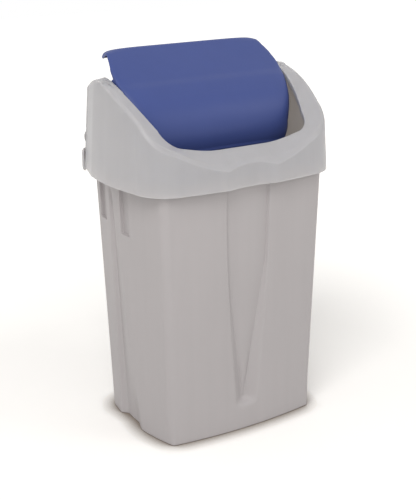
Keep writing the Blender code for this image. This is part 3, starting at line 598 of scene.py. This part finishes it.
def hood_profile(zone, share):
    """The outer skin at one station, from the foot of the skirt up, over the band and into the mouth."""
    foot_x, foot_y = hood_outline.point(zone, share)
    crease_z = crease_height(foot_x, foot_y)
    crease_x, crease_y = hood_outline.inset((crease_z - hood_foot) * hood_lean).point(zone, share)
    edge_x, edge_y = edge_outline.point(zone, share)
    edge = Vector((edge_x, edge_y, edge_height(edge_x, edge_y)))
    arch_share = 1 - (foot_x / arch_half_width) ** 2
    if zone == "front" and arch_share > 0:
        foot_y += arch_depth * arch_share
        crease_y += arch_depth * arch_share
        crease_z += arch_rise * arch_share
    foot = Vector((foot_x, foot_y, hood_foot))
    crease = Vector((crease_x, crease_y, crease_z))
    forward = clamp((peak_place - foot_y) / (peak_place + hood_front + hood_front_bow))
    across = (edge - crease).xy
    inward = across.normalized() * min(shoulder_width, across.length / 2)
    rise = lerp(shoulder_rise, front_shoulder_rise, forward)
    straight = clamp((forward - straight_bevel_share) / (1 - straight_bevel_share))
    points = [foot.lerp(crease, step / skirt_steps) for step in range(skirt_steps)]
    points.append(foot.lerp(crease, skirt_end_share))
    for step in range(shoulder_steps + 1):
        turn = step / shoulder_steps
        bulge_in = lerp(1 - math.cos(turn * math.pi / 2), turn, straight)
        bulge_up = lerp(math.sin(turn * math.pi / 2), turn * (1 + bevel_bulge * (1 - turn)), straight)
        points.append(crease + Vector((inward.x * bulge_in, inward.y * bulge_in, rise * bulge_up)))
    crest = points[-1]
    direction = Vector((inward.x, inward.y, 0.0)).normalized()
    band_end = edge - direction * edge_radius
    for step in range(1, band_steps + 1):
        point = crest.lerp(band_end, step / band_steps)
        off_x = (abs(point.x) - (crest.x + edge_x) / 2) / (dimple_width / 2)
        off_y = (point.y - pivot_y) / (dimple_length / 2)
        point.z -= dimple_depth * smooth(1 - math.hypot(off_x, off_y))
        points.append(point)
    for step in range(1, edge_arc_steps + 1):
        turn = math.pi / 2 * step / edge_arc_steps
        points.append(band_end + direction * edge_radius * math.sin(turn)
                      - Vector((0, 0, edge_radius * (1 - math.cos(turn)))))
    for step in range(1, flange_steps + 1):
        points.append(edge - Vector((0, 0, lerp(edge_radius, flange_depth, step / flange_steps))))
    return points


profiles = [hood_profile(zone, share) for zone, share in hood_stations()]
hood_rings = [full_ring([profile[row] for profile in profiles]) for row in range(len(profiles[0]))]
hood_shell = mesh_piece("hood_shell", hood_rings, sharp=50.0)


def give_wall(item, thickness):
    """Gives a skin its wall thickness inwards."""
    if item.data.polygons[0].normal.dot(item.data.polygons[0].center) < 0:
        item.data.flip_normals()
    thicken = item.modifiers.new("wall", "SOLIDIFY")
    thicken.thickness = thickness
    thicken.offset = -1.0
    thicken.use_even_offset = True


def round_edges(item, width, angle):
    """Rounds the edges that turn by more than the angle."""
    rounding = item.modifiers.new("rounded_edges", "BEVEL")
    rounding.width = width
    rounding.segments = 2
    rounding.limit_method = "ANGLE"
    rounding.angle_limit = angle


give_wall(hood_shell, wall)
round_edges(hood_shell, hood_edge_bevel, bevel_angle)
hood_plastic = moulded_plastic("hood_plastic", hood_grey, roughness=0.36, grain_size=1100.0,
                               grain_depth=0.00008, gloss=0.5, glow_through=0.8)
hood_shell.data.materials.append(hood_plastic)
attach(hood_shell, "hood")
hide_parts("hood")

# Ledge inside the hood
# A rib moulded round the inside of the skirt. It rests on the bucket's rim and carries the hood,
# so it isn't seen until the hood is lifted.
rim_gap = 0.0003
ledge_foot = bucket_height + rim_gap
ledge_thickness = 0.003
rim_outline = bucket_outline(bucket_height)
ledge_inner = []
ledge_outer = []
skirt_middle = hood_outline.inset((ledge_foot - hood_foot) * hood_lean + wall / 2)
for zone, share in hood_stations():
    ledge_inner.append(Vector((*rim_outline.point(zone, share), ledge_foot)))
    x, y = skirt_middle.point(zone, share)
    if zone == "front" and x < arch_half_width:
        y += arch_depth * (1 - (x / arch_half_width) ** 2)
    ledge_outer.append(Vector((x, y, ledge_foot)))
up = Vector((0, 0, ledge_thickness))
ledge_lines = (ledge_inner, [point + up for point in ledge_inner], [point + up for point in ledge_outer],
               ledge_outer, ledge_inner)
ledge_rings = [full_ring(line) for line in ledge_lines]
hood_ledge = mesh_piece("hood_ledge", ledge_rings)
hood_ledge.data.materials.append(hood_plastic)
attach(hood_ledge, "hood")

# Bearing bosses
# Two grey blocks moulded under the top band, each with a blind round hole in its inner face.
# The lid's stub pins snap into them.
pin_radius = 0.0035
pin_gap = 0.0004
pin_reach = 0.013
lid_side_gap = 0.0015
boss_length = 0.030
boss_depth = 0.014
round_steps = 48
lid_outline = edge_outline.inset(lid_side_gap)


def boss_rings(side):
    """Rings of one boss: its outer end, its inner face, the mouth of its hole and the hole's blind end."""
    near = edge_outline.side_x(pivot_y) - wall / 4
    far = hood_outline.inset((pivot_z - hood_foot) * hood_lean).side_x(pivot_y) - wall / 2
    hole_end = lid_outline.side_x(pivot_y) + pin_reach + pin_gap
    block = []
    hole = []
    for step in range(round_steps):
        turn = 2 * math.pi * step / round_steps
        y, z = math.cos(turn), math.sin(turn)
        top = edge_height(near, pivot_y + y * boss_length / 2) - wall / 2 - pivot_z
        rise = top if z > 0 else boss_depth
        reach = min(boss_length / 2 / max(abs(y), 1e-6), rise / max(abs(z), 1e-6))
        block.append((pivot_y + y * reach, pivot_z + z * reach))
        hole.append((pivot_y + y * (pin_radius + pin_gap), pivot_z + z * (pin_radius + pin_gap)))
    stops = ((far, block), (near, block), (near, hole), (hole_end, hole))
    return [[Vector((side * x, y, z)) for y, z in line] for x, line in stops]


for side, name in ((1, "right_boss"), (-1, "left_boss")):
    boss = mesh_piece(name, boss_rings(side), capped=True)
    boss.data.materials.append(hood_plastic)
    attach(boss, "hood")

# Catches
# Rounded lugs moulded on the skirt's rear corners, a long one at the foot and a small one above it.
# They give the fingers a hold when the hood is lifted off.
catch_width = 0.018
catch_root = 0.0018
catch_corner_share = 0.35
catch_heading_step = 1.1
catch_flat_end = 0.02
catch_levels = 24
catch_sweep_steps = 32
# The kind, its place above the skirt's foot, its height and how far it stands out.
catch_sizes = (("catch", -0.007, 0.044, 0.004), ("button", 0.048, 0.020, 0.002))


def catch_rings(side, foot, height, reach):
    """Level rings of half an upright capsule, set on the slanting corner of the skirt."""
    outline = hood_outline.inset((foot - hood_foot) * hood_lean + catch_root)
    x, y = outline.point("rear_corner", catch_corner_share)
    ahead_x, ahead_y = outline.point("rear_corner", catch_corner_share * catch_heading_step)
    along = Vector((ahead_x - x, ahead_y - y)).normalized()
    outward = Vector((along.y, -along.x))
    radius = catch_width / 2
    rings = []
    for step in range(catch_levels + 1):
        turn = math.pi * (step / catch_levels - 0.5)
        bulge = max(math.cos(turn), catch_flat_end)
        z = foot + height / 2 + radius * math.sin(turn) + (height / 2 - radius) * math.copysign(1, turn)
        ring = []
        for part in range(catch_sweep_steps + 1):
            sweep = math.pi * part / catch_sweep_steps
            spot = (Vector((x, y)) + along * radius * bulge * math.cos(sweep)
                    + outward * (reach + catch_root) * bulge * math.sin(sweep))
            ring.append(Vector((side * spot.x, spot.y, z)))
        rings.append(ring)
    return rings


for side, hand in ((1, "right"), (-1, "left")):
    for kind, place, height, reach in catch_sizes:
        rings = catch_rings(side, hood_foot + place, height, reach)
        catch = mesh_piece(hand + "_" + kind, rings, capped=True)
        catch.data.materials.append(hood_plastic)
        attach(catch, "hood")

# Swing lid
# One blue moulding, about 2.5 mm thick: a nearly flat rear plate with a turned-down lip, a soft ridge,
# and a front that rolls down into the mouth. It stands open, tipped about its pins.
lid_thickness = 0.0025
lid_swing = math.radians(38.0)
lid_rear_gap = 0.0115
lid_rear_rise = 0.0200
lid_ridge_y = -0.012
lid_ridge_rise = 0.0085
lid_front_radius = 0.100
lid_brow_radius = 0.030
lid_step = 0.0015
lid_step_start = 0.004
lid_step_length = 0.024
lid_band = 0.0014
lid_band_start = 0.022
lid_band_end = 0.004
lid_sink = 0.0015
lid_pivot_skirt = 0.009
lid_rear_skirt = 0.003
lid_notch_start = 0.003
lid_notch_length = 0.015
lid_corner_reach = 0.030
lid_corner_squareness = 6
lid_crown = 0.002
lid_squareness = 10
lid_roll_depth = 0.008
lid_corner_share = 0.8
lid_foot_share = 0.5
lid_tip_share = 0.05
lip_depth = 0.026
lip_bend = 0.010
ear_radius = 0.0115

lip_steps = 5
lip_bend_steps = 9
plate_steps = 48
front_roll_steps = 52
brow_steps = 10
lid_front_steps = 14
crown_steps = 24
lid_side_steps = 12

lid_edge_bevel = 0.0006
lid_bevel_angle = math.radians(60)
lid_blue = (0.049, 0.074, 0.238)

lid_inner_outline = lid_outline.inset(lid_thickness)
lid_rear_y = edge_rear - lid_rear_gap
lid_rear_z = edge_height(0, lid_rear_y) + lid_rear_rise
lid_ridge_z = edge_peak + lid_ridge_rise
lid_pivot = Vector((0.0, pivot_y, pivot_z))


def lid_side_end(outline, y, z, corner_share):
    """Where one line across the lid ends, on an outline that fits inside the mouth."""
    if corner_share <= 0:
        x = outline.side_x(y)
    elif corner_share < lid_corner_share:
        x, y = outline.point("front_corner", 1 - corner_share / lid_corner_share)
    else:
        along = (corner_share - lid_corner_share) / (1 - lid_corner_share)
        x, y = outline.point("front", lerp(1.0, lid_foot_share, along))
    foot = edge_height(x, y) - lid_sink
    if y > pivot_y:
        thinning = smooth((y - pivot_y - ear_radius) / (2 * ear_radius))
        foot = max(foot, z - lerp(lid_pivot_skirt, lid_rear_skirt, thinning))
    return Vector((x, y, foot))


def lid_rear_end(outline, y, z):
    """Where a line across the lip or near it ends: the plate's side runs down into the lip's tip."""
    forward = lid_rear_y - y
    notch = 1 - smooth((forward - lid_notch_start) / lid_notch_length)
    side = lid_rear_z - lid_rear_skirt
    foot = side - (lip_depth - lid_rear_skirt) * notch
    return Vector((outline.side_x(y), y, min(z, foot + lid_tip_share * (z - foot))))


def lid_step_at(y):
    """How far the face has stepped down at y: a shallow step runs across the lid at its ridge."""
    return lid_step * smooth((lid_step_start - y) / lid_step_length)


def lid_plate_z(y):
    """Height of the plate in the middle: a straight run to the ridge, with a soft band and a step."""
    share = (lid_rear_y - lip_bend - y) / (lid_rear_y - lip_bend - lid_ridge_y)
    height = lerp(lid_rear_z + lid_band, lid_ridge_z, share)
    height -= lid_band * (1 - smooth((lid_band_start - y) / (lid_band_start - lid_band_end)))
    return height - lid_step_at(y)


def lid_line(rear_y, rear_z):
    """The outer face from the tip of the lip, round its bend, over the ridge and down the front."""
    bend_y = rear_y - lip_bend
    bend_z = rear_z - lip_bend
    points = [(rear_y, lerp(rear_z - lip_depth, bend_z, step / lip_steps)) for step in range(lip_steps)]
    for step in range(lip_bend_steps):
        turn = math.pi / 2 * step / lip_bend_steps
        points.append((bend_y + lip_bend * math.cos(turn), bend_z + lip_bend * math.sin(turn)))
    plate = [lerp(bend_y, lid_ridge_y, step / plate_steps) for step in range(plate_steps)]
    points += [(y, lid_plate_z(y)) for y in plate]
    front_y = lid_outline.front_y(0)
    brow_sine = (lid_ridge_y - front_y - lid_brow_radius) / (lid_front_radius - lid_brow_radius)
    brow_turn = math.asin(brow_sine)
    centre_z = lid_ridge_z - lid_front_radius
    for step in range(front_roll_steps):
        turn = brow_turn * step / front_roll_steps
        radius = lid_front_radius - lid_step_at(lid_ridge_y - lid_front_radius * math.sin(turn))
        points.append((lid_ridge_y - radius * math.sin(turn), centre_z + radius * math.cos(turn)))
    brow_y = front_y + lid_brow_radius
    brow_z = centre_z + (lid_front_radius - lid_brow_radius) * math.cos(brow_turn)
    for step in range(brow_steps):
        turn = lerp(brow_turn, math.pi / 2, step / brow_steps)
        points.append((brow_y - lid_brow_radius * math.sin(turn), brow_z + lid_brow_radius * math.cos(turn)))
    front_z = lid_side_end(lid_outline, front_y, lid_ridge_z, 1.0).z
    for step in range(lid_front_steps + 1):
        points.append((front_y, lerp(brow_z, front_z, step / lid_front_steps)))
    return points


def inner_line(points):
    """The line of the inner face, one wall thickness inside the outer one."""
    moved = []
    for index, (y, z) in enumerate(points):
        before = Vector(points[max(index - 1, 0)])
        after = Vector(points[min(index + 1, len(points) - 1)])
        along = (after - before).normalized()
        moved.append((y - along.y * lid_thickness, z + along.x * lid_thickness))
    return moved


def lid_row(middle, end, crown, squareness):
    """One line across the lid, from left to right: a flat crown that rolls down at both ends."""
    corner = 0.5 ** (1 / squareness)
    roll = clamp((middle[1] - end.z) / lid_roll_depth)
    shares = []
    for step in range(crown_steps + 1):
        across = corner * math.sin(math.pi / 2 * step / crown_steps)
        shares.append((across, (1 - across ** squareness) ** (1 / squareness)))
    for step in range(1, lid_side_steps + 1):
        up = corner * math.cos(math.pi / 2 * step / lid_side_steps)
        across = (1 - up ** squareness) ** (1 / squareness)
        shares.append((lerp(lerp(corner, 1.0, step / lid_side_steps), across, roll), up))
    half = []
    for across, up in shares:
        y = lerp(end.y, middle[0], up)
        z = lerp(end.z, middle[1] - crown * across ** 2, up)
        half.append(Vector((end.x * across, y, z)))
    return [Vector((-point.x, point.y, point.z)) for point in half[:0:-1]] + half


outer_line = lid_line(lid_rear_y, lid_rear_z)
corner_count = len([y for y, z in outer_line if y <= lid_outline.side_start])
open_lid = Matrix.Translation(lid_pivot) @ Matrix.Rotation(lid_swing, 4, "X") @ Matrix.Translation(-lid_pivot)
lid_rings = []
for index, (line, inside) in enumerate(zip(outer_line, inner_line(outer_line))):
    if line[0] > lid_rear_y - lid_corner_reach:
        end = lid_rear_end(lid_outline, *line)
        inner_end = lid_rear_end(lid_inner_outline, *inside)
    else:
        share = (index + 1 + corner_count - len(outer_line)) / corner_count
        end = lid_side_end(lid_outline, *line, share)
        inner_end = lid_side_end(lid_inner_outline, *line, share)
    inner_end.z = end.z
    forward = smooth((lid_rear_y - line[0]) / (lid_rear_y - lid_ridge_y))
    crown = lid_crown * forward if index < len(outer_line) - 1 else 0.0
    reach = smooth((lid_rear_y - line[0]) / lid_corner_reach)
    squareness = lerp(lid_corner_squareness, lid_squareness, reach)
    ring = lid_row(line, end, crown, squareness) + lid_row(inside, inner_end, crown, squareness)[::-1]
    lid_rings.append([open_lid @ point for point in ring])
lid_shell = mesh_piece("lid_shell", lid_rings, capped=True, sharp=50.0)
round_edges(lid_shell, lid_edge_bevel, lid_bevel_angle)
lid_plastic = moulded_plastic("lid_plastic", lid_blue, roughness=0.42, grain_size=1100.0,
                              grain_depth=0.00008, gloss=0.3)
lid_shell.data.materials.append(lid_plastic)
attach(lid_shell, "lid")
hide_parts("swing_lid")

# Ears and stub pins
# A thick round ear under each side edge of the lid, moulded with it in the same blue, and a stub pin
# that points outwards from the ear into the hood's bearing boss.
ear_thickness = 0.004
pin_chamfer = 0.0008
ear_x = lid_outline.side_x(pivot_y)
pin_stops = ((ear_x - ear_thickness, ear_radius - pin_chamfer),
             (ear_x - ear_thickness + pin_chamfer, ear_radius),
             (ear_x - pin_chamfer, ear_radius),
             (ear_x, ear_radius - pin_chamfer),
             (ear_x, pin_radius),
             (ear_x + pin_reach - pin_chamfer, pin_radius),
             (ear_x + pin_reach, pin_radius - pin_chamfer))
pin_turns = [2 * math.pi * step / round_steps for step in range(round_steps)]
for side, name in ((1, "right_pin"), (-1, "left_pin")):
    pin_rings = []
    for x, radius in pin_stops:
        centre = Vector((side * x, pivot_y, pivot_z))
        pin_rings.append([centre + Vector((0, radius * math.cos(turn), radius * math.sin(turn)))
                          for turn in pin_turns])
    pin = mesh_piece(name, pin_rings, capped=True)
    pin.data.materials.append(lid_plastic)
    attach(pin, "lid")

# Floor and light
# A plain white floor under soft boxes in a white room. To the camera it is a little paler the farther
# it lies from the bin, and it keeps the bin's soft shadow, with a painted shadow as a darker line where the
# foot stands.
floor_reach = 6.0
floor_plain = (0.88, 0.875, 0.86, 1.0)
floor_seen = (1.0, 0.98, 0.95, 1.0)
# The colour of the floor's painted contact shadow, and how far from the foot that painted shadow reaches.
floor_painted_shadow = (0.24, 0.20, 0.17, 1.0)
painted_shadow_reach = 0.040
paling_start = 0.5
paling_end = 2.2
near_gain = 1.14
far_gain = 1.8
room_light = 0.63
floor_mesh = bpy.data.meshes.new("floor")
corner_signs = ((-1, -1), (1, -1), (1, 1), (-1, 1))
corners = [(floor_reach * right, floor_reach * back, 0) for right, back in corner_signs]
floor_mesh.from_pydata(corners, [], [(0, 1, 2, 3)])
floor = bpy.data.objects.new("floor", floor_mesh)
scene.collection.objects.link(floor)
floor_paint = bpy.data.materials.new("floor_paint")
floor_paint.use_nodes = True
floor_nodes = floor_paint.node_tree.nodes
floor_link = floor_paint.node_tree.links.new
floor_nodes.remove(floor_nodes["Principled BSDF"])
matt = node(floor_nodes, "ShaderNodeBsdfDiffuse", (-200, 100))
path = node(floor_nodes, "ShaderNodeLightPath", (-900, 300))
seen = node(floor_nodes, "ShaderNodeMath", (-700, 300), operation="MAXIMUM")
floor_link(path.outputs["Is Camera Ray"], seen.inputs[0])
floor_link(path.outputs["Is Glossy Ray"], seen.inputs[1])
# Painted shadow: where ambient occlusion finds the bin's foot close by, the floor's colour is mixed towards a
# dark brown-grey.
near = node(floor_nodes, "ShaderNodeAmbientOcclusion", (-900, 0), samples=16, Distance=painted_shadow_reach)
painted_contact_shadow = node(floor_nodes, "ShaderNodeMapRange", (-700, 0), From_Min=0.45, From_Max=0.95)
floor_link(near.outputs["AO"], painted_contact_shadow.inputs["Value"])
spot = node(floor_nodes, "ShaderNodeTexCoord", (-1300, -250))
away = node(floor_nodes, "ShaderNodeVectorMath", (-1100, -250), operation="LENGTH")
floor_link(spot.outputs["Object"], away.inputs[0])
far = node(floor_nodes, "ShaderNodeMapRange", (-900, -250), From_Min=paling_start, From_Max=paling_end,
           To_Min=near_gain, To_Max=far_gain)
floor_link(away.outputs["Value"], far.inputs["Value"])
shade = node(floor_nodes, "ShaderNodeMix", (-650, -100), data_type="RGBA", A=floor_painted_shadow, B=floor_seen)
floor_link(painted_contact_shadow.outputs["Result"], shade.inputs["Factor"])
white = node(floor_nodes, "ShaderNodeVectorMath", (-500, 0), operation="SCALE")
floor_link(shade.outputs["Result"], white.inputs["Vector"])
floor_link(far.outputs["Result"], white.inputs["Scale"])
tone = node(floor_nodes, "ShaderNodeMix", (-350, 100), data_type="RGBA", A=floor_plain)
floor_link(seen.outputs["Value"], tone.inputs["Factor"])
floor_link(white.outputs["Vector"], tone.inputs["B"])
floor_link(tone.outputs["Result"], matt.inputs["Color"])
floor_link(matt.outputs["BSDF"], floor_nodes["Material Output"].inputs["Surface"])
floor_mesh.materials.append(floor_paint)

world = bpy.data.worlds.new("white_room")
world.use_nodes = True
world_nodes = world.node_tree.nodes
world_link = world.node_tree.links.new
room = world_nodes["Background"]
room.inputs["Color"].default_value = (1.0, 1.0, 1.0, 1.0)
room_path = node(world_nodes, "ShaderNodeLightPath", (-900, 0))
seen_or_shiny = node(world_nodes, "ShaderNodeMath", (-700, 0), operation="MAXIMUM")
world_link(room_path.outputs["Is Camera Ray"], seen_or_shiny.inputs[0])
world_link(room_path.outputs["Is Glossy Ray"], seen_or_shiny.inputs[1])
seen_at_all = node(world_nodes, "ShaderNodeMath", (-500, 0), operation="MAXIMUM")
world_link(seen_or_shiny.outputs["Value"], seen_at_all.inputs[0])
world_link(room_path.outputs["Is Transmission Ray"], seen_at_all.inputs[1])
room_level = node(world_nodes, "ShaderNodeMapRange", (-300, 0), To_Min=room_light, To_Max=1.0)
world_link(seen_at_all.outputs["Value"], room_level.inputs["Value"])
world_link(room_level.outputs["Result"], room.inputs["Strength"])
scene.world = world


def soft_box(name, place, aim, size, watts):
    """A square soft box turned towards the bin."""
    data = bpy.data.lights.new(name, "AREA")
    data.size = size
    data.energy = watts
    item = bpy.data.objects.new(name, data)
    item.location = place
    item.rotation_euler = (Vector(place) - Vector(aim)).to_track_quat("Z", "Y").to_euler()
    scene.collection.objects.link(item)


soft_box("key_light", place=(-1.8, -1.5, 3.3), aim=(0.0, 0.0, 0.35), size=1.5, watts=50.0)
soft_box("front_light", place=(-1.5, -2.4, 1.35), aim=(0.0, 0.0, 0.45), size=1.0, watts=8.0)
soft_box("fill_light", place=(2.2, -2.4, 2.2), aim=(0.0, 0.0, 0.35), size=1.2, watts=12.0)
